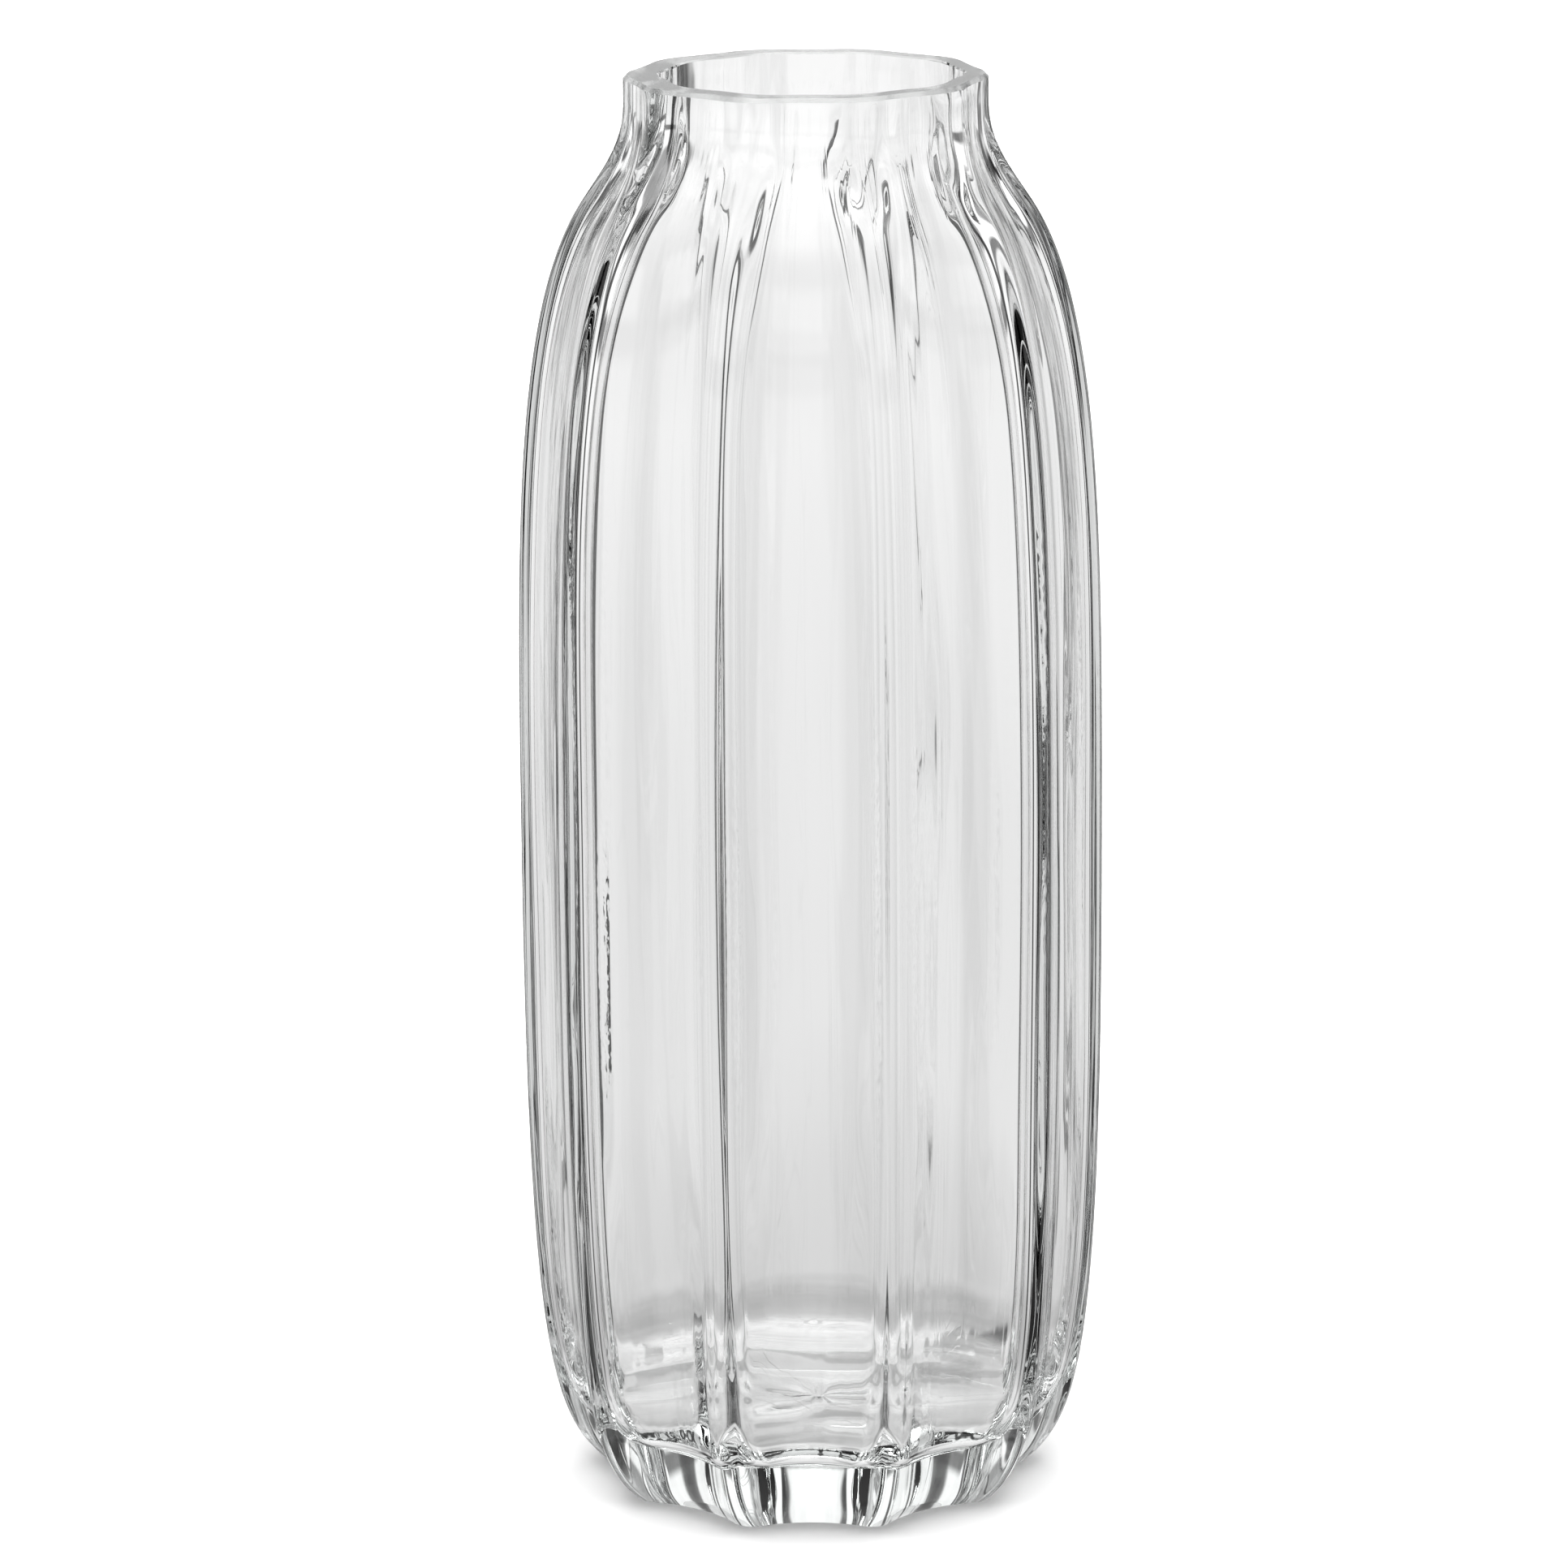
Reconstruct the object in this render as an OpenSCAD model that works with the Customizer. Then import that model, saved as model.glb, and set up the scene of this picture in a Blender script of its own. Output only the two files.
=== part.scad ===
// Tall flower vase in one piece of clear glass.
// The body swells from a thick foot and draws in to a short neck, and
// ten shallow flutes run up it with a narrow ridge between each pair.
// It stands on z = 0 with its axis on +Z, and one ridge faces +X.

/* [Overall size] */
// Height from the resting face to the ground rim
vase_height = 320; // [280:1:400]
// Radius of the body at its widest, over the ridges
body_radius = 65.3; // [60:0.1:72]
// Radius of the neck, over the ridges
neck_radius = 40.1; // [36:0.1:46]
// Radius of the flat resting face, over the ridges
foot_radius = 48; // [42:0.5:54]
// Height at which the body is widest
belly_height = 138; // [125:1:150]
// Depth below the rim at which the shoulder turns up into the neck
neck_depth = 28; // [24:0.5:32]
// Height of the straight band under the rim
rim_band = 6; // [4:0.5:10]

/* [Flutes] */
// Number of flutes around the vase
flute_count = 10; // [8:1:14]
// Depth of a flute on the body, below a line across its two ridges
body_flute_depth = 2.8; // [1:0.1:4]
// Depth of a flute at the rim
rim_flute_depth = 0.25; // [0.1:0.05:0.8]
// Radius of the rounded crest of a ridge on the body
crest_radius = 4; // [2:0.1:5]
// Radius of the much rounder crest of a ridge at the rim
rim_crest_radius = 16; // [8:0.5:18]
// Height over which the flutes soften, below the straight band
flute_fade = 24; // [18:1:50]
// Height over which the flutes inside the glass soften
inner_flute_fade = 65; // [30:1:80]

/* [Glass] */
// Wall thickness behind a ridge of the body
body_wall = 5; // [4:0.1:7]
// Wall thickness behind a ridge at the rim
rim_wall = 6.6; // [4:0.1:8]
// Thickness of the solid glass under the inner floor
base_thickness = 15; // [10:0.5:22]
// Width of the small bevel around the outside of the rim
rim_bevel = 0.9; // [0.3:0.1:1.5]
// Depth of the flutes on the inside of the body
inner_flute_depth = 2; // [0.4:0.1:2.4]
// Depth of the flutes on the inside of the foot, around the inner floor
floor_flute_depth = 3; // [1:0.1:3.4]
// Radius of the softened crests on the inside of the body
inner_crest_radius = 7; // [6:0.5:11]
// Radius of the soft corner between inner floor and wall
floor_corner = 14; // [10:0.5:16]

/* [Hidden] */

// Outward slope of the wall where shoulder and neck meet, radius over height
shoulder_slope = -0.66;
// How far that place lies inside the mean of body and neck radius
shoulder_set_in = 3.2;
// Heights over which the curves leave that place straight, down and up
shoulder_reach = 24;
neck_reach = 8;
// Height over which the neck's curve runs straight into the band at the rim
band_reach = 9;

// Spread and height at which the foot's curve leaves the resting face
foot_spread = 12;
foot_rise = 10;
// Height down to which the foot's curve stays as wide as the body
foot_bulge = 23;

// Outward slope of the inside wall above its soft corner, radius over height
inner_lean = 0.2;
// Heights over which the inside wall follows that slope and the belly
inner_rise = 20;
inner_bulge = 60;
// Share of a soft corner that its curve's handles cover
corner_handle = 0.6;

// How far the body has spread beyond the foot at the inner floor's corner
foot_flare = 13;
// Radius of the inside at the top of the soft corner, and at the belly
inner_foot = foot_radius + foot_flare - body_wall;
inner_wide = body_radius - body_wall;
// Heights above the inner floor between which the inner flutes change from
// floor depth to body depth
floor_flutes_height = 25;
body_flutes_height = 85;
floor_flutes_end = base_thickness + floor_flutes_height;
body_flutes_start = base_thickness + body_flutes_height;

// Radius of the flat centre of each level face, inside its fluted edge
level_radius = 25;
// Steps along each stretch of the profile, and along each half of a flute
foot_steps = 6;
body_steps = 8;
neck_steps = 5;
corner_steps = 3;
crest_steps = 2;
flute_steps = 2;

half_flute = 180 / flute_count;

// Point at t on the cubic curve with four control points
function bezier(p, t) =
    pow(1 - t, 3) * p[0] + 3 * t * pow(1 - t, 2) * p[1]
    + 3 * t * t * (1 - t) * p[2] + pow(t, 3) * p[3];

// Points along a cubic curve, without its first point
function curve(p, steps) = [for (i = [1:steps]) bezier(p, i / steps)];

// Smooth change from 0 to 1 as x goes from a to b
function ease(a, b, x) =
    let (t = min(1, max(0, (x - a) / (b - a))))
    t * t * (3 - 2 * t);

// Value between a and b, at share t
function mix(a, b, t) = a + (b - a) * t;

// Shoulder and neck as [radius, height] points, for a wall surface that lies
// inset by body_inset on the body and by rim_inset at the rim
function upper_profile(body_inset, rim_inset) =
    let (
        wide = body_radius - body_inset,
        narrow = neck_radius - rim_inset,
        tilt = norm([1, shoulder_slope]),
        along = [shoulder_slope, 1],
        turn = [
            mix(body_radius, neck_radius, 0.5) - shoulder_set_in - body_inset / tilt,
            vase_height - neck_depth + shoulder_slope * body_inset / tilt
        ],
        neck_start = vase_height - rim_band
    )
    concat(
        curve(
            [
                [wide, belly_height],
                [wide, mix(belly_height, turn[1], 0.5)],
                turn - shoulder_reach * along,
                turn
            ],
            body_steps
        ),
        curve(
            [
                turn,
                turn + neck_reach * along,
                [narrow, neck_start - band_reach],
                [narrow, neck_start]
            ],
            neck_steps
        )
    );

// Outside of the glass, from the resting face up to the rim
outer_profile = concat(
    [[foot_radius, 0]],
    curve(
        [
            [foot_radius, 0],
            [foot_radius + foot_spread, foot_rise],
            [body_radius, foot_bulge],
            [body_radius, belly_height]
        ],
        foot_steps
    ),
    upper_profile(0, 0),
    [
        [neck_radius, vase_height - rim_bevel],
        [neck_radius - rim_bevel, vase_height]
    ]
);

// Inside of the glass, from the inner floor up to the rim
floor_edge = [inner_foot - floor_corner, base_thickness];
corner_top = [inner_foot, base_thickness + floor_corner];
inner_up = [inner_lean, 1];
inner_profile = concat(
    [floor_edge],
    curve(
        [
            floor_edge,
            floor_edge + [corner_handle * floor_corner, 0],
            corner_top - corner_handle * floor_corner * inner_up,
            corner_top
        ],
        corner_steps
    ),
    curve(
        [
            corner_top,
            corner_top + inner_rise * inner_up,
            [inner_wide, belly_height - inner_bulge],
            [inner_wide, belly_height]
        ],
        foot_steps
    ),
    upper_profile(body_wall, rim_wall),
    [[neck_radius - rim_wall, vase_height]]
);

// Half of one flute as [angle from the ridge, radius] pairs. A convex crest
// arc and a concave flute arc meet tangentially.
function half_section(ridge_radius, crest, depth) =
    let (
        crest_centre = ridge_radius - crest,
        level = crest_centre * cos(half_flute) + crest,
        middle = level - depth,
        flute_arc = (
            middle * middle + crest_centre * crest_centre
            - 2 * middle * crest_centre * cos(half_flute) - crest * crest
        ) / (2 * depth),
        flute_centre = (middle + flute_arc) * [cos(half_flute), sin(half_flute)],
        to_flute = flute_centre - [crest_centre, 0],
        crest_turn = atan2(to_flute[1], to_flute[0]),
        flute_turn = half_flute - crest_turn
    )
    concat(
        [
            for (i = [0:crest_steps])
                let (a = crest_turn * i / crest_steps)
                [crest_centre, 0] + crest * [cos(a), sin(a)]
        ],
        [
            for (i = [1:flute_steps])
                let (a = 180 + crest_turn + flute_turn * i / flute_steps)
                flute_centre + flute_arc * [cos(a), sin(a)]
        ]
    );

// One closed ring of the wall at [ridge radius, height], with the crest radius
// and flute depth it has on the body, before they fade over fade_height
function ring(at, body_crest, body_depth, fade_height) =
    let (
        rim_end = vase_height - rim_band,
        fade = ease(rim_end, rim_end - fade_height, at[1]),
        crest = mix(rim_crest_radius, body_crest, fade),
        depth = mix(rim_flute_depth, body_depth, fade),
        half = half_section(at[0], crest, depth),
        last = len(half) - 1
    )
    [
        for (flute = [0:flute_count - 1], i = [0:2 * last - 1])
            let (
                p = i <= last ? half[i] : half[2 * last - i],
                own = atan2(p[1], p[0]),
                a = 2 * half_flute * flute
                    + (i <= last ? own : 2 * half_flute - own)
            )
            [norm(p) * cos(a), norm(p) * sin(a), at[1]]
    ];

function outer_ring(at) = ring(at, crest_radius, body_flute_depth, flute_fade);

function inner_ring(at) =
    let (
        share = ease(floor_flutes_end, body_flutes_start, at[1]),
        depth = mix(floor_flute_depth, inner_flute_depth, share)
    )
    ring(at, inner_crest_radius, depth, inner_flute_fade);

// A plain round ring with as many points as a ring of the wall
function level_ring(like, height) =
    [
        for (p = like)
            let (a = atan2(p[1], p[0]))
            [level_radius * cos(a), level_radius * sin(a), height]
    ];

module vase() {
    outside = [for (p = outer_profile) outer_ring(p)];
    inside = [for (i = [len(inner_profile) - 1:-1:0]) inner_ring(inner_profile[i])];
    rings = concat(
        [level_ring(outside[0], 0)],
        outside,
        inside,
        [level_ring(outside[0], base_thickness)]
    );
    around = len(rings[0]);
    last_ring = len(rings) - 1;
    color([0.88, 0.9, 0.9, 0.45])
        polyhedron(
            points = [for (r = rings) each r],
            faces = concat(
                [[for (i = [0:around - 1]) i]],
                [
                    for (k = [0:last_ring - 1], i = [0:around - 1])
                        let (j = (i + 1) % around)
                        [
                            k * around + i, (k + 1) * around + i,
                            (k + 1) * around + j, k * around + j
                        ]
                ],
                [[for (i = [around - 1:-1:0]) last_ring * around + i]]
            ),
            convexity = 6
        );
}

vase();
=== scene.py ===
"""A tall fluted flower vase in one piece of clear glass, on a pale studio floor."""

import math

import bpy
import numpy as np
from mathutils import Matrix, Vector


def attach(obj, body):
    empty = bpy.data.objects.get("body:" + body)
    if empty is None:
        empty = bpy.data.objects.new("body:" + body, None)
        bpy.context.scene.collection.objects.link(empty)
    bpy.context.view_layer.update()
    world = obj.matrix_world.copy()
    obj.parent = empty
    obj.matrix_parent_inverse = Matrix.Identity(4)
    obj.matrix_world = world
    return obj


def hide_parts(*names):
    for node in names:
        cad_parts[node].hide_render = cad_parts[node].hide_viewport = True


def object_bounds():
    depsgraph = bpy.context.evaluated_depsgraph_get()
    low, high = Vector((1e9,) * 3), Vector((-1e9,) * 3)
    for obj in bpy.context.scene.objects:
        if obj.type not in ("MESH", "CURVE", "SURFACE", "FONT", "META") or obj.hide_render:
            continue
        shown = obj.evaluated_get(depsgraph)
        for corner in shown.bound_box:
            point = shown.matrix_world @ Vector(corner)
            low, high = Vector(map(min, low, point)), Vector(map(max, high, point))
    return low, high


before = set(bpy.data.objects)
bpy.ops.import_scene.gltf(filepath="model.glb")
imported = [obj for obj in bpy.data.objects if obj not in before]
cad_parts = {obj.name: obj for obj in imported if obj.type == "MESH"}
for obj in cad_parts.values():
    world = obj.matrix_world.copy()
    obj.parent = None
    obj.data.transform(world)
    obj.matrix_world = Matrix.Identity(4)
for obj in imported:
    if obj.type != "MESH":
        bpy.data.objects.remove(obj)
cad_low, cad_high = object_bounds()

# ---------------------------------------------------------------- dimensions
# Metres. The overall sizes come from the bounds of the CAD model in model.glb; the rest repeat the CAD
# model.
MM = 0.001
HEIGHT = cad_high.z - cad_low.z
BODY_RADIUS = cad_high.x
NECK_RADIUS = 40.1 * MM
FOOT_RADIUS = 48 * MM
BELLY_HEIGHT = 138 * MM
NECK_DEPTH = 28 * MM
RIM_BAND = 6 * MM
RIM_BEVEL = 0.9 * MM
INNER_BEVEL = 0.35 * MM

FLUTES = 10
HALF_FLUTE = math.pi / FLUTES
BODY_FLUTE_DEPTH = 2.8 * MM
RIM_FLUTE_DEPTH = 0.25 * MM
CREST_RADIUS = 4 * MM
RIM_CREST_RADIUS = 16 * MM
FLUTE_FADE = 24 * MM
INNER_FLUTE_FADE = 65 * MM

BODY_WALL = 5 * MM
RIM_WALL = 6.6 * MM
BASE_THICKNESS = 15 * MM
FLOOR_CORNER = 14 * MM
INNER_FLUTE_DEPTH = 2 * MM
FLOOR_FLUTE_DEPTH = 3 * MM
INNER_CREST_RADIUS = 7 * MM
FOOT_FLARE = 13 * MM
INNER_FOOT = FOOT_RADIUS + FOOT_FLARE - BODY_WALL
FLOOR_FLUTES_HEIGHT = 25 * MM
BODY_FLUTES_HEIGHT = 85 * MM

# How the profile curves leave their ends
SHOULDER_SLOPE = -0.66
SHOULDER_SET_IN = 3.2 * MM
SHOULDER_REACH = 24 * MM
NECK_REACH = 8 * MM
BAND_REACH = 9 * MM
FOOT_SPREAD = 12 * MM
FOOT_RISE = 10 * MM
FOOT_BULGE = 23 * MM
INNER_LEAN = 0.2
INNER_RISE = 20 * MM
INNER_BULGE = 60 * MM
CORNER_HANDLE = 0.6

# Mesh density
PLAIN_SPACING = 1.8 * MM
FINE_SPACING = 0.7 * MM
FINE_FOOT = 40 * MM
FINE_NECK = 70 * MM
SPACING_CHANGE = 15 * MM
CREST_STEPS = 8
FLUTE_STEPS = 19
FLOOR_RINGS = 26
UNDER_RINGS = 24
SHARP_ANGLE = math.radians(30)

# The inside of the mouth isn't quite centred, as in hand-finished glass
MOUTH_DRIFT = 1.3 * MM
MOUTH_DRIFT_REACH = 30 * MM


# ------------------------------------------------------------------- profiles
def ease(t):
    """Smooth change from 0 to 1 as t goes from 0 to 1."""
    t = np.clip(t, 0, 1)
    return t * t * (3 - 2 * t)


def mix(a, b, t):
    """Value between a and b, at share t."""
    return a + (b - a) * t


def cubic(p0, p1, p2, p3, steps=200):
    """Points along a cubic curve, without its first point."""
    t = np.linspace(0, 1, steps + 1)[1:, None]
    p0, p1, p2, p3 = map(np.asarray, (p0, p1, p2, p3))
    return (1 - t) ** 3 * p0 + 3 * t * (1 - t) ** 2 * p1 + 3 * t * t * (1 - t) * p2 + t**3 * p3


def upper_profile(body_inset, rim_inset):
    """Body, shoulder and neck as (radius, height), set in from the outside."""
    wide = BODY_RADIUS - body_inset
    narrow = NECK_RADIUS - rim_inset
    tilt = math.hypot(1, SHOULDER_SLOPE)
    along = np.array([SHOULDER_SLOPE, 1.0])
    turn = np.array(
        [
            mix(BODY_RADIUS, NECK_RADIUS, 0.5) - SHOULDER_SET_IN - body_inset / tilt,
            HEIGHT - NECK_DEPTH + SHOULDER_SLOPE * body_inset / tilt,
        ]
    )
    neck_start = HEIGHT - RIM_BAND
    shoulder = cubic(
        (wide, BELLY_HEIGHT),
        (wide, mix(BELLY_HEIGHT, turn[1], 0.5)),
        turn - SHOULDER_REACH * along,
        turn,
    )
    neck = cubic(
        turn, turn + NECK_REACH * along, (narrow, neck_start - BAND_REACH), (narrow, neck_start)
    )
    return np.vstack([shoulder, neck])


def resample(points):
    """The same path with its points closer together near the foot and the neck."""
    step = np.hypot(*np.diff(points, axis=0).T)
    height = (points[1:, 1] + points[:-1, 1]) / 2
    foot = ease((FINE_FOOT - height) / SPACING_CHANGE)
    neck = ease((height - HEIGHT + FINE_NECK) / SPACING_CHANGE)
    spacing = mix(PLAIN_SPACING, FINE_SPACING, np.maximum(foot, neck))
    along = np.concatenate([[0], np.cumsum(step / spacing)])
    at = np.linspace(0, along[-1], int(round(along[-1])) + 1)
    return np.column_stack([np.interp(at, along, points[:, k]) for k in (0, 1)])


def outer_profile():
    """Outside of the glass, from the resting face up to the rim's bevel."""
    foot = cubic(
        (FOOT_RADIUS, 0),
        (FOOT_RADIUS + FOOT_SPREAD, FOOT_RISE),
        (BODY_RADIUS, FOOT_BULGE),
        (BODY_RADIUS, BELLY_HEIGHT),
    )
    path = np.vstack(
        [[(FOOT_RADIUS, 0)], foot, upper_profile(0, 0), [(NECK_RADIUS, HEIGHT - RIM_BEVEL)]]
    )
    return resample(path)


def inner_profile():
    """Inside of the glass, from the flat of the inner floor up to the rim."""
    wide = BODY_RADIUS - BODY_WALL
    floor_edge = np.array([INNER_FOOT - FLOOR_CORNER, BASE_THICKNESS])
    corner_top = np.array([INNER_FOOT, BASE_THICKNESS + FLOOR_CORNER])
    up = np.array([INNER_LEAN, 1.0])
    handle = CORNER_HANDLE * FLOOR_CORNER
    corner = cubic(floor_edge, floor_edge + [handle, 0], corner_top - handle * up, corner_top)
    lower = cubic(
        corner_top, corner_top + INNER_RISE * up, (wide, BELLY_HEIGHT - INNER_BULGE), (wide, BELLY_HEIGHT)
    )
    end = (NECK_RADIUS - RIM_WALL, HEIGHT - INNER_BEVEL)
    path = np.vstack([[floor_edge], corner, lower, upper_profile(BODY_WALL, RIM_WALL), [end]])
    return resample(path)


# ---------------------------------------------------------------- cross-section
def half_section(ridge_radius, crest, depth):
    """Half a flute from ridge to middle as (angles, radii): a crest arc, then a flute arc."""
    centre = ridge_radius - crest
    level = centre * math.cos(HALF_FLUTE) + crest
    middle = level - depth
    arc = (
        middle**2 + centre**2 - 2 * middle * centre * math.cos(HALF_FLUTE) - crest**2
    ) / (2 * depth)
    flute_centre = (middle + arc) * np.array([math.cos(HALF_FLUTE), math.sin(HALF_FLUTE)])
    turn = math.atan2(flute_centre[1], flute_centre[0] - centre)
    crest_angles = np.linspace(0, turn, CREST_STEPS + 1)
    flute_angles = np.linspace(turn, HALF_FLUTE, FLUTE_STEPS + 1)[1:] + math.pi
    x = np.concatenate(
        [centre + crest * np.cos(crest_angles), flute_centre[0] + arc * np.cos(flute_angles)]
    )
    y = np.concatenate(
        [crest * np.sin(crest_angles), flute_centre[1] + arc * np.sin(flute_angles)]
    )
    return np.arctan2(y, x), np.hypot(x, y)


def ring(ridge_radius, height, body_crest, body_depth, fade_height):
    """One closed ring of the wall, from the crest and depth it has on the body, which
    fade into those of the rim over a height."""
    fade = ease((HEIGHT - RIM_BAND - height) / fade_height)
    crest = mix(RIM_CREST_RADIUS, body_crest, fade)
    depth = mix(RIM_FLUTE_DEPTH, body_depth, fade)
    angles, radii = half_section(ridge_radius, crest, depth)
    flute_angles = np.concatenate([angles, 2 * HALF_FLUTE - angles[-2:0:-1]])
    flute_radii = np.concatenate([radii, radii[-2:0:-1]])
    starts = 2 * HALF_FLUTE * np.arange(FLUTES)[:, None]
    a = (starts + flute_angles[None, :]).ravel()
    r = np.tile(flute_radii, FLUTES)
    return np.column_stack([r * np.cos(a), r * np.sin(a), np.full_like(a, height)])


def outer_ring(radius, height):
    return ring(radius, height, CREST_RADIUS, BODY_FLUTE_DEPTH, FLUTE_FADE)


def inner_ring(radius, height):
    over_floor = height - BASE_THICKNESS - FLOOR_FLUTES_HEIGHT
    share = ease(over_floor / (BODY_FLUTES_HEIGHT - FLOOR_FLUTES_HEIGHT))
    depth = mix(FLOOR_FLUTE_DEPTH, INNER_FLUTE_DEPTH, share)
    return ring(radius, height, INNER_CREST_RADIUS, depth, INNER_FLUTE_FADE)


def scaled_ring(like, factor, height):
    """A level copy of a ring, drawn in towards the axis."""
    return np.column_stack([like[:, 0] * factor, like[:, 1] * factor, np.full(len(like), height)])


# --------------------------------------------------------- waves in the glass
class Waves:
    """Smooth seeded waviness over angle and height that closes on itself all round."""

    def __init__(self, seed, count, turns, drift, length):
        draw = np.random.default_rng(seed)
        self.turns = draw.integers(*turns, count)
        self.phase = draw.uniform(0, 2 * math.pi, count)
        self.drift = draw.normal(0, drift, count)
        self.wave = 2 * math.pi / (draw.uniform(0.6, 1.6, count) * length)
        self.shift = draw.uniform(0, 2 * math.pi, count)
        weight = draw.uniform(0.5, 1.0, count)
        self.weight = 2 * weight / math.sqrt((weight**2).sum())

    def at(self, angle, height):
        a = angle[:, None]
        z = height[:, None]
        swell = np.cos(self.wave * z + self.shift)
        around = np.cos(self.turns * a + self.phase + self.drift * z)
        return (self.weight * swell * around).sum(axis=1)


LUMPS = Waves(seed=11, count=9, turns=(2, 9), drift=8, length=0.16)
STREAKS = Waves(seed=23, count=26, turns=(24, 60), drift=10, length=0.30)
FINE_STREAKS = Waves(seed=31, count=30, turns=(70, 150), drift=14, length=0.16)
LUMP_SIZE = 0.2 * MM
STREAK_SIZE = 0.018 * MM
FINE_STREAK_SIZE = 0.005 * MM
# Height under the rim over which the waves die away
STILL_RIM = 4 * MM

# Where the drops sit in the neck and how large they are, as (least, most)
DROP_FROM_RIDGE = (0.05, 0.13)
DROP_BELOW_RIM = (14, 30)
DROP_HALF_WIDTH = (1.0, 1.7)
DROP_HALF_LENGTH = (4, 8)
DROP_SIZE = (0.45, 0.9)
DROP_LEAN = (-0.12, 0.12)
DROP_TAPER = 0.4
DROP_REACH = 4


def neck_drops():
    """Tear-shaped thick spots inside the neck, one on each side of a ridge, as
    (angle, height, half width, half length, size, lean)."""
    draw = np.random.default_rng(7)
    drops = []
    for k in range(FLUTES):
        ridge = 2 * HALF_FLUTE * k
        for side in (-1, 1):
            drops.append(
                (
                    ridge + side * draw.uniform(*DROP_FROM_RIDGE),
                    HEIGHT - draw.uniform(*DROP_BELOW_RIM) * MM,
                    draw.uniform(*DROP_HALF_WIDTH) * MM,
                    draw.uniform(*DROP_HALF_LENGTH) * MM,
                    draw.uniform(*DROP_SIZE) * MM,
                    draw.uniform(*DROP_LEAN),
                )
            )
    return drops


NECK_DROPS = neck_drops()


def drop_shape(angle, radius, height):
    """Thickness that the drops add."""
    total = np.zeros_like(angle)
    for drop_angle, drop_height, width, length, size, lean in NECK_DROPS:
        up = height - drop_height
        if abs(up[0]) > DROP_REACH * length:
            continue
        across = (angle - drop_angle + math.pi) % (2 * math.pi) - math.pi
        across = across * radius - lean * up
        taper = width * (1 - DROP_TAPER * np.clip(up / length, -1, 1))
        total += size * np.exp(-((across / taper) ** 2) - (up / length) ** 2)
    return total


def hand_worked(points):
    """An inner ring moved in and out by the waves and drops of real glass."""
    angle = np.arctan2(points[:, 1], points[:, 0])
    radius = np.hypot(points[:, 0], points[:, 1])
    height = points[:, 2]
    move = (
        LUMP_SIZE * LUMPS.at(angle, height)
        + STREAK_SIZE * STREAKS.at(angle, height)
        + FINE_STREAK_SIZE * FINE_STREAKS.at(angle, height)
        - drop_shape(angle, radius, height)
    )
    move *= np.clip((HEIGHT - height) / STILL_RIM, 0, 1)
    grown = 1 + move / radius
    drift = MOUTH_DRIFT * ease(1 - (HEIGHT - height) / MOUTH_DRIFT_REACH)
    return np.column_stack([points[:, 0] * grown + drift, points[:, 1] * grown, height])


# Where the columns of wrinkles stand and how large they are, as (least, most)
COLUMN_FROM_RIDGE = (0.04, 0.16)
COLUMN_MIDDLE = (0.2, 0.6)
COLUMN_HALF_WIDTH = (0.5, 1.1)
COLUMN_HALF_LENGTH = (20, 60)
# The wrinkles' bump
WRINKLE_SCALE = 800
WRINKLE_STRETCH = (1, 1, 0.45)
WRINKLE_HEIGHT = 0.13 * MM
# The bump of long thin lines drawn up the glass, which show where noise is high
DRAWN_SCALE = 420
DRAWN_STRETCH = 0.02
DRAWN_HEIGHT = 0.012 * MM
DRAWN_START = 0.66
DRAWN_FULL = 0.72


def wrinkle_columns():
    """Upright columns of fine wrinkles inside the glass, one on each side of a ridge, as
    (angle, middle height, half width, half length)."""
    draw = np.random.default_rng(19)
    columns = []
    for k in range(FLUTES):
        ridge = 2 * HALF_FLUTE * k
        for side in (-1, 1):
            angle = ridge + side * draw.uniform(*COLUMN_FROM_RIDGE)
            middle = draw.uniform(*COLUMN_MIDDLE) * HEIGHT
            half_width = draw.uniform(*COLUMN_HALF_WIDTH) * MM
            half_length = draw.uniform(*COLUMN_HALF_LENGTH) * MM
            columns.append((angle, middle, half_width, half_length))
    return columns


def wrinkle_strength(points):
    """How strongly the fine wrinkles show at each point of the inside."""
    angle = np.arctan2(points[:, 1], points[:, 0])
    radius = np.hypot(points[:, 0], points[:, 1])
    height = points[:, 2]
    total = np.zeros_like(angle)
    for column_angle, middle, width, length in wrinkle_columns():
        across = ((angle - column_angle + math.pi) % (2 * math.pi) - math.pi) * radius
        along = (height - middle) / length
        total += np.exp(-((across / width) ** 2) - along**4)
    return np.clip(total, 0, 1)


FLOOR_WAVES = Waves(seed=5, count=12, turns=(1, 7), drift=0, length=0.05)
FLOOR_WAVE_SIZE = 0.22 * MM


def floor_rings(edge):
    """The inner floor from its edge to near the axis. Its slight waves are strongest
    halfway and die away at the edge and the axis."""
    rings = []
    for share in np.linspace(0.98, 0.03, FLOOR_RINGS):
        level = scaled_ring(edge, share, BASE_THICKNESS)
        angle = np.arctan2(level[:, 1], level[:, 0])
        radius = np.hypot(level[:, 0], level[:, 1])
        strength = 4 * share * (1 - share)
        level[:, 2] += FLOOR_WAVE_SIZE * strength * FLOOR_WAVES.at(angle, radius)
        rings.append(level)
    return rings


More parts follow.
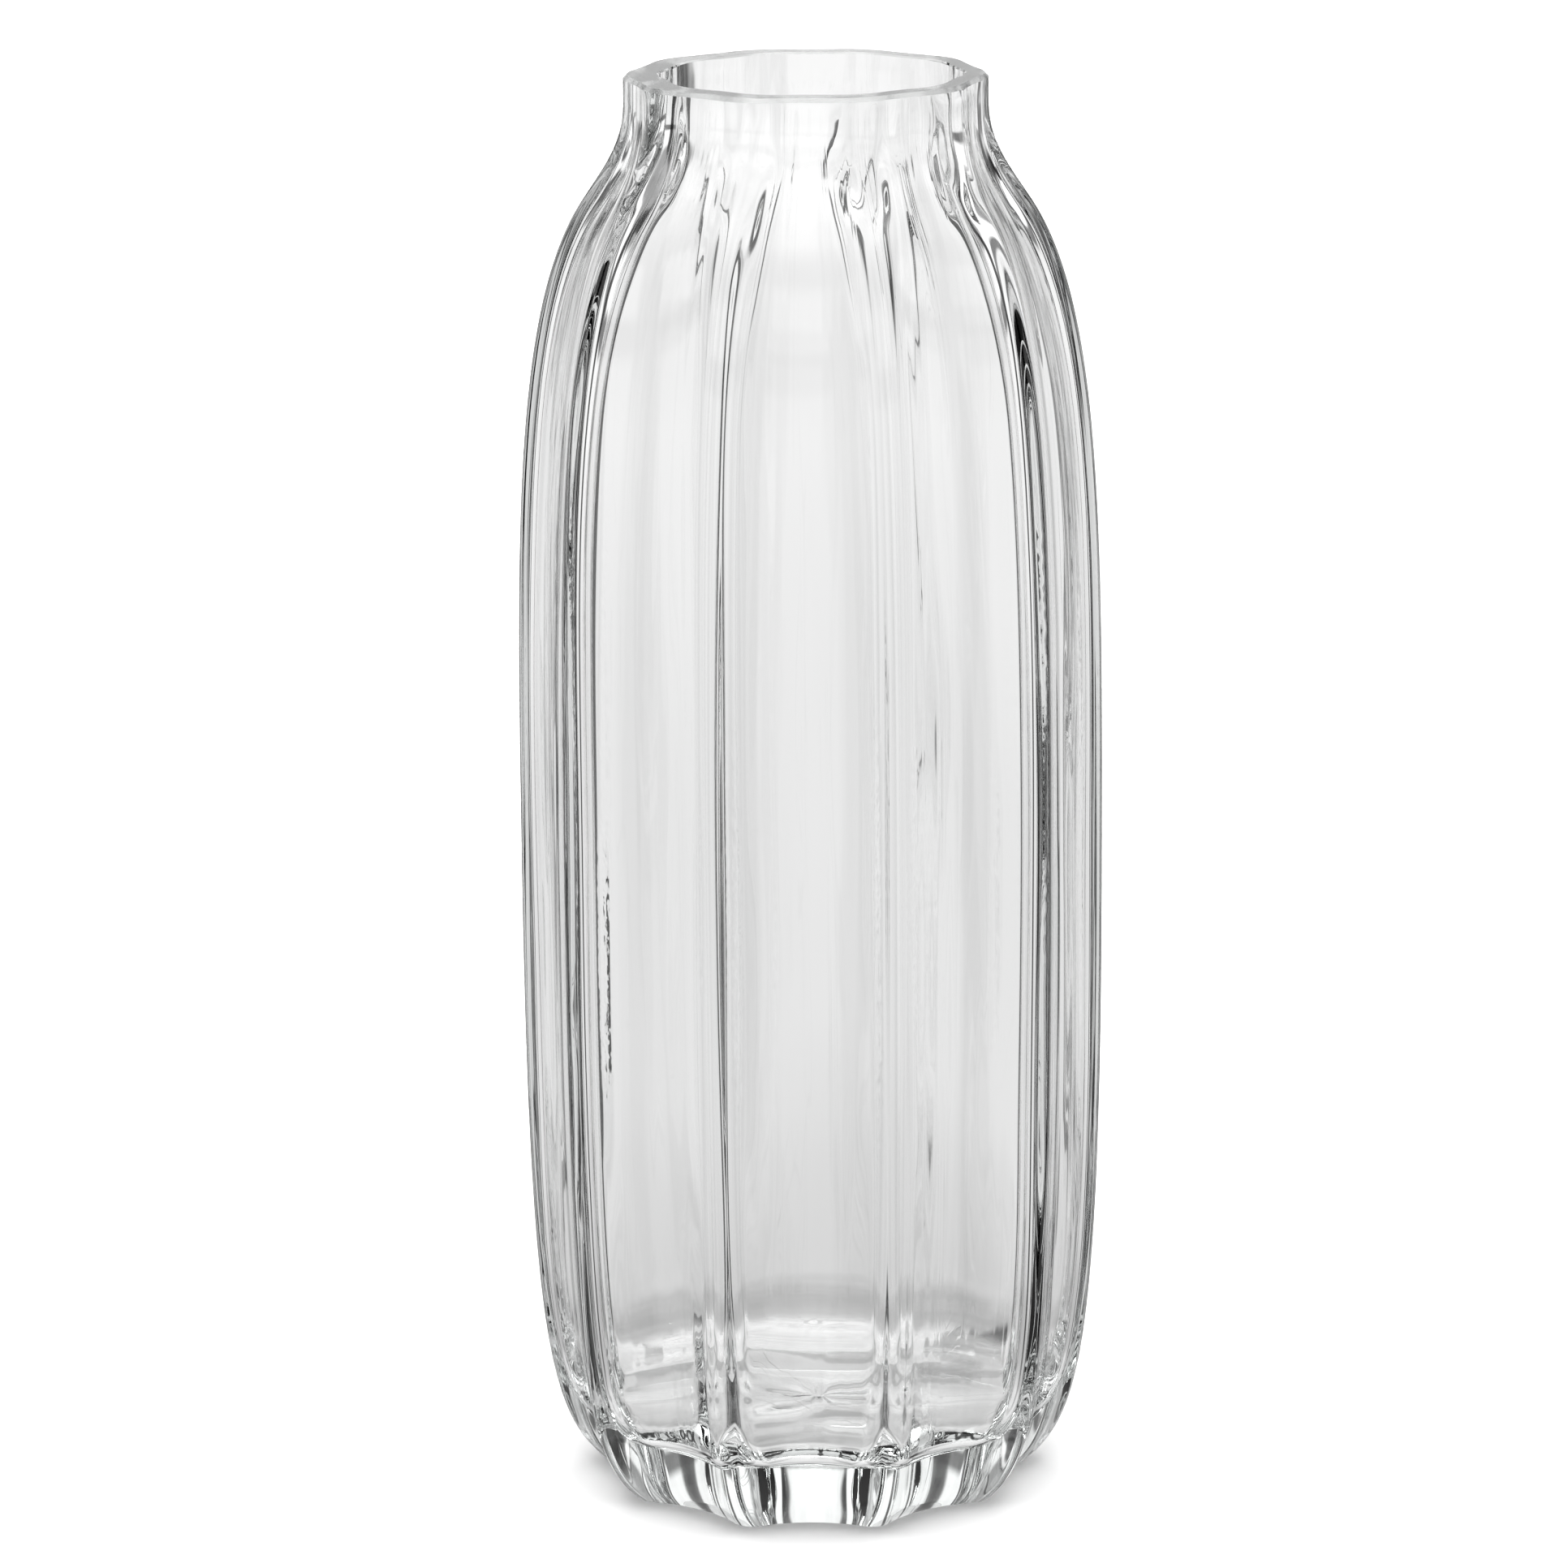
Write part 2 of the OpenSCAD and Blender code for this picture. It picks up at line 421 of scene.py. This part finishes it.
# ----------------------------------------------------------------------- glass
def glass_rings():
    """All rings of the glass surface, from the middle of the foot round to the inner floor,
    with the places where the ground rim starts and ends."""
    outside = [outer_ring(r, z) for r, z in outer_profile()]
    inside = [hand_worked(inner_ring(r, z)) for r, z in inner_profile()]
    top_out = outer_ring(NECK_RADIUS - RIM_BEVEL, HEIGHT)
    top_in = hand_worked(inner_ring(NECK_RADIUS - RIM_WALL + INNER_BEVEL, HEIGHT))
    under = [scaled_ring(outside[0], share, 0) for share in np.linspace(0.04, 0.96, UNDER_RINGS)]
    rim_start = len(under) + len(outside) - 1
    rings = under + outside + [top_out, top_in] + inside[::-1] + floor_rings(inside[0])
    return rings, rim_start, rim_start + 2


def mark_surface(mesh, verts, inside_start):
    """Give each point its share of wrinkles and its place in the pattern of drawn lines."""
    wrinkles = wrinkle_strength(verts)
    wrinkles[:inside_start] = 0
    mesh.attributes.new("wrinkles", "FLOAT", "POINT").data.foreach_set("value", wrinkles)
    angle = np.arctan2(verts[:, 1], verts[:, 0])
    up = verts[:, 2] * DRAWN_STRETCH
    drawn = np.column_stack([BODY_RADIUS * np.cos(angle), BODY_RADIUS * np.sin(angle), up])
    mesh.attributes.new("drawn", "FLOAT_VECTOR", "POINT").data.foreach_set("vector", drawn.ravel())


def glass_mesh():
    """The closed skin of the glass. Faces of the ground rim have the second material."""
    rings, rim_start, rim_end = glass_rings()
    around = len(rings[0])
    k = np.arange(len(rings) - 1)[:, None] * around
    i = np.arange(around)[None, :]
    j = (i + 1) % around
    quads = np.stack([k + i, k + j, k + around + j, k + around + i], axis=-1).reshape(-1, 4)
    verts = np.vstack(rings + [[(0, 0, 0), (0, 0, BASE_THICKNESS)]])
    last = (len(rings) - 1) * around
    under_centre = len(verts) - 2
    floor_centre = len(verts) - 1
    ends = [(under_centre, int(b), int(a)) for a, b in zip(i[0], j[0])]
    ends += [(floor_centre, int(last + a), int(last + b)) for a, b in zip(i[0], j[0])]
    mesh = bpy.data.meshes.new("vase_glass")
    mesh.from_pydata(verts.tolist(), [], quads.tolist() + ends)
    mesh.polygons.foreach_set("use_smooth", np.ones(len(mesh.polygons), bool))
    ground = np.zeros(len(mesh.polygons), np.int32)
    ground[rim_start * around : rim_end * around] = 1
    mesh.polygons.foreach_set("material_index", ground)
    mesh.set_sharp_from_angle(angle=SHARP_ANGLE)
    mark_surface(mesh, verts, (rim_end + 1) * around)
    return mesh


def add_surface_marks(tree, shader):
    """Fine wrinkles where the mesh says so, and long thin lines drawn up the glass."""

    def node(kind, **settings):
        made = tree.nodes.new(kind)
        for name, value in settings.items():
            setattr(made, name, value)
        return made

    def noise(vector, scale):
        made = node("ShaderNodeTexNoise")
        made.inputs["Scale"].default_value = scale
        made.inputs["Detail"].default_value = 1.5
        tree.links.new(vector, made.inputs["Vector"])
        return made.outputs["Fac"]

    def product(a, b):
        made = node("ShaderNodeMath", operation="MULTIPLY")
        tree.links.new(a, made.inputs[0])
        if isinstance(b, (int, float)):
            made.inputs[1].default_value = b
        else:
            tree.links.new(b, made.inputs[1])
        return made.outputs[0]

    place = node("ShaderNodeTexCoord")
    stretch = node("ShaderNodeVectorMath", operation="MULTIPLY")
    stretch.inputs[1].default_value = WRINKLE_STRETCH
    tree.links.new(place.outputs["Object"], stretch.inputs[0])
    strength = node("ShaderNodeAttribute", attribute_name="wrinkles")
    wrinkles = product(noise(stretch.outputs[0], WRINKLE_SCALE), strength.outputs["Fac"])

    drawn = node("ShaderNodeAttribute", attribute_name="drawn")
    line = node("ShaderNodeMapRange", interpolation_type="SMOOTHSTEP")
    line.inputs["From Min"].default_value = DRAWN_START
    line.inputs["From Max"].default_value = DRAWN_FULL
    tree.links.new(noise(drawn.outputs["Vector"], DRAWN_SCALE), line.inputs["Value"])

    height = node("ShaderNodeMath", operation="ADD")
    tree.links.new(product(wrinkles, WRINKLE_HEIGHT), height.inputs[0])
    tree.links.new(product(line.outputs[0], DRAWN_HEIGHT), height.inputs[1])
    bump = node("ShaderNodeBump")
    bump.inputs["Strength"].default_value = 1
    bump.inputs["Distance"].default_value = 1
    tree.links.new(height.outputs[0], bump.inputs["Height"])
    tree.links.new(bump.outputs["Normal"], shader.inputs["Normal"])


def clear_glass():
    """Clear glass with a very faint grey-green tint through its thickness."""
    material = bpy.data.materials.new("clear_glass")
    material.use_nodes = True
    tree = material.node_tree
    shader = tree.nodes["Principled BSDF"]
    shader.inputs["Base Color"].default_value = (1, 1, 1, 1)
    shader.inputs["Roughness"].default_value = 0.0
    shader.inputs["IOR"].default_value = 1.5
    shader.inputs["Transmission Weight"].default_value = 1
    add_surface_marks(tree, shader)
    tint = tree.nodes.new("ShaderNodeVolumeAbsorption")
    tint.inputs["Color"].default_value = (0.86, 0.875, 0.87, 1)
    tint.inputs["Density"].default_value = 15
    tree.links.new(tint.outputs["Volume"], tree.nodes["Material Output"].inputs["Volume"])
    return material


def ground_glass():
    """The slightly rough, greyer glass of the ground rim."""
    material = bpy.data.materials.new("ground_glass")
    material.use_nodes = True
    shader = material.node_tree.nodes["Principled BSDF"]
    shader.inputs["Base Color"].default_value = (0.6, 0.61, 0.605, 1)
    shader.inputs["Roughness"].default_value = 0.22
    shader.inputs["IOR"].default_value = 1.5
    shader.inputs["Transmission Weight"].default_value = 0.75
    return material


def make_vase():
    vase = bpy.data.objects.new("vase_glass", glass_mesh())
    bpy.context.scene.collection.objects.link(vase)
    vase.data.materials.append(clear_glass())
    vase.data.materials.append(ground_glass())
    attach(vase, "root")
    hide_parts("vase")
    return vase


# ----------------------------------------------------------------------- stage
FLOOR_HALF_SIZE = 6.0
FLOOR_LEVEL = -0.3 * MM
WALL_HEIGHT = 4.0
WALL_BRIGHTNESS = 1.0


def stage_object(name, verts, faces):
    """A thing of the studio, which isn't part of the object."""
    mesh = bpy.data.meshes.new(name)
    mesh.from_pydata(verts, [], faces)
    thing = bpy.data.objects.new(name, mesh)
    bpy.context.scene.collection.objects.link(thing)
    return thing


def floor_corners(level):
    s = FLOOR_HALF_SIZE
    return [(-s, -s, level), (s, -s, level), (s, s, level), (-s, s, level)]


def make_floor():
    """The pale floor. The glass looks past it at the studio's light."""
    floor = stage_object("studio_floor", floor_corners(FLOOR_LEVEL), [(0, 1, 2, 3)])
    material = bpy.data.materials.new("pale_floor")
    material.use_nodes = True
    shader = material.node_tree.nodes["Principled BSDF"]
    shader.inputs["Base Color"].default_value = (0.95, 0.95, 0.95, 1)
    shader.inputs["Roughness"].default_value = 1.0
    shader.inputs["Specular IOR Level"].default_value = 0.0
    floor.data.materials.append(material)
    floor.visible_transmission = False
    floor.visible_glossy = False


def make_wall():
    """A plain white wall far round the floor, seen only where a low camera looks past it."""
    verts = floor_corners(FLOOR_LEVEL) + floor_corners(WALL_HEIGHT)
    faces = [(k, (k + 1) % 4, (k + 1) % 4 + 4, k + 4) for k in range(4)]
    wall = stage_object("studio_wall", verts, faces)
    material = bpy.data.materials.new("white_wall")
    material.use_nodes = True
    shader = material.node_tree.nodes["Principled BSDF"]
    shader.inputs["Base Color"].default_value = (0, 0, 0, 1)
    shader.inputs["Specular IOR Level"].default_value = 0.0
    shader.inputs["Emission Color"].default_value = (1, 1, 1, 1)
    shader.inputs["Emission Strength"].default_value = WALL_BRIGHTNESS
    wall.data.materials.append(material)
    wall.visible_diffuse = False
    wall.visible_glossy = False
    wall.visible_transmission = False
    wall.visible_shadow = False


# Brightness over the sine of the height above the horizon
SKY_STRENGTH = 1.15
SKY = [
    (-1.0, 0.75),
    (-0.62, 0.72),
    (-0.50, 0.46),
    (-0.40, 0.46),
    (-0.34, 0.60),
    (-0.27, 0.71),
    (-0.14, 0.84),
    (0.0, 0.92),
    (0.10, 0.92),
    (0.14, 0.20),
    (0.20, 0.20),
    (0.25, 1.15),
    (0.42, 1.15),
    (0.50, 0.35),
    (0.58, 0.35),
    (0.80, 1.5),
    (1.0, 5.5),
]
# How far the gaps between the soft boxes show at that height
GAPS_SHOWN = [(-1.0, 0.2), (-0.6, 0.5), (-0.4, 1.0), (0.0, 1.0), (0.15, 1.0), (0.5, 1.0), (1.0, 0.0)]
# Brightness across a box and a gap, over the cosine of the angle from the box's middle
BOX_COUNT = 8
BOX_EDGE = [(-1.0, 0.03), (-0.8, 0.08), (-0.45, 0.9), (0.2, 1.0)]
SLAT_COUNT = 24
SLAT_EDGE = [(-1.0, 0.92), (0.3, 1.0)]


def make_world():
    """A round studio of tall soft boxes with dark gaps, which show only in the glass."""
    world = bpy.data.worlds.new("studio")
    bpy.context.scene.world = world
    world.use_nodes = True
    tree = world.node_tree
    background = tree.nodes["Background"]

    def math_node(operation, *values):
        node = tree.nodes.new("ShaderNodeMath")
        node.operation = operation
        for socket, value in zip(node.inputs, values):
            if isinstance(value, (int, float)):
                socket.default_value = value
            else:
                tree.links.new(value, socket)
        return node.outputs[0]

    def level_curve(value, stops):
        """A smooth curve of brightness over a value from -1 to 1."""
        node = tree.nodes.new("ShaderNodeValToRGB")
        node.color_ramp.interpolation = "EASE"
        points = node.color_ramp.elements
        while len(points) < len(stops):
            points.new(0.5)
        for point, (at, level) in zip(points, stops):
            point.position = (at + 1) / 2
            point.color = (level, level, level, 1)
        share = math_node("MULTIPLY_ADD", value, 0.5, 0.5)
        tree.links.new(share, node.inputs["Fac"])
        return node.outputs["Color"]

    place = tree.nodes.new("ShaderNodeTexCoord")
    split = tree.nodes.new("ShaderNodeSeparateXYZ")
    tree.links.new(place.outputs["Generated"], split.inputs[0])
    x, y, z = split.outputs
    azimuth = math_node("ARCTAN2", y, x)
    box = math_node("COSINE", math_node("MULTIPLY", azimuth, BOX_COUNT))
    slat = math_node("COSINE", math_node("MULTIPLY", azimuth, SLAT_COUNT))
    lit = math_node("MULTIPLY", level_curve(box, BOX_EDGE), level_curve(slat, SLAT_EDGE))
    lost = math_node("MULTIPLY", math_node("SUBTRACT", 1, lit), level_curve(z, GAPS_SHOWN))
    light = math_node("MULTIPLY", level_curve(z, SKY), math_node("SUBTRACT", 1, lost))
    tree.links.new(light, background.inputs["Color"])
    background.inputs["Strength"].default_value = SKY_STRENGTH


def make_camera():
    """A long lens, a little above the vase and looking down at it."""
    distance = 4.70 * HEIGHT
    height = 1.671 * HEIGHT
    aside = -0.0189 * HEIGHT
    pitch = math.radians(14.0)
    roll = math.radians(0.49)
    turn = math.radians(1.64)
    right = Vector((1, 0, 0))
    up = Vector((0, math.sin(pitch), math.cos(pitch)))
    back = Vector((0, -math.cos(pitch), math.sin(pitch)))
    rolled_right = math.cos(roll) * right - math.sin(roll) * up
    rolled_up = math.sin(roll) * right + math.cos(roll) * up
    axes = Matrix((rolled_right, rolled_up, back)).transposed().to_4x4()
    place = Matrix.Translation((aside, -distance, height))
    data = bpy.data.cameras.new("camera")
    data.sensor_width = 36
    data.lens = 158.6
    data.clip_start = 0.01
    data.clip_end = 50
    camera = bpy.data.objects.new("camera", data)
    camera.matrix_world = Matrix.Rotation(turn, 4, "Z") @ place @ axes
    bpy.context.scene.collection.objects.link(camera)
    bpy.context.scene.camera = camera


make_camera()
make_vase()
make_floor()
make_wall()
make_world()

# Light has to cross the glass many times, but long chains of reflections inside it
# only blur its edges
scene = bpy.context.scene
scene.view_settings.view_transform = "Standard"
scene.cycles.max_bounces = 24
scene.cycles.transmission_bounces = 24
scene.cycles.glossy_bounces = 8
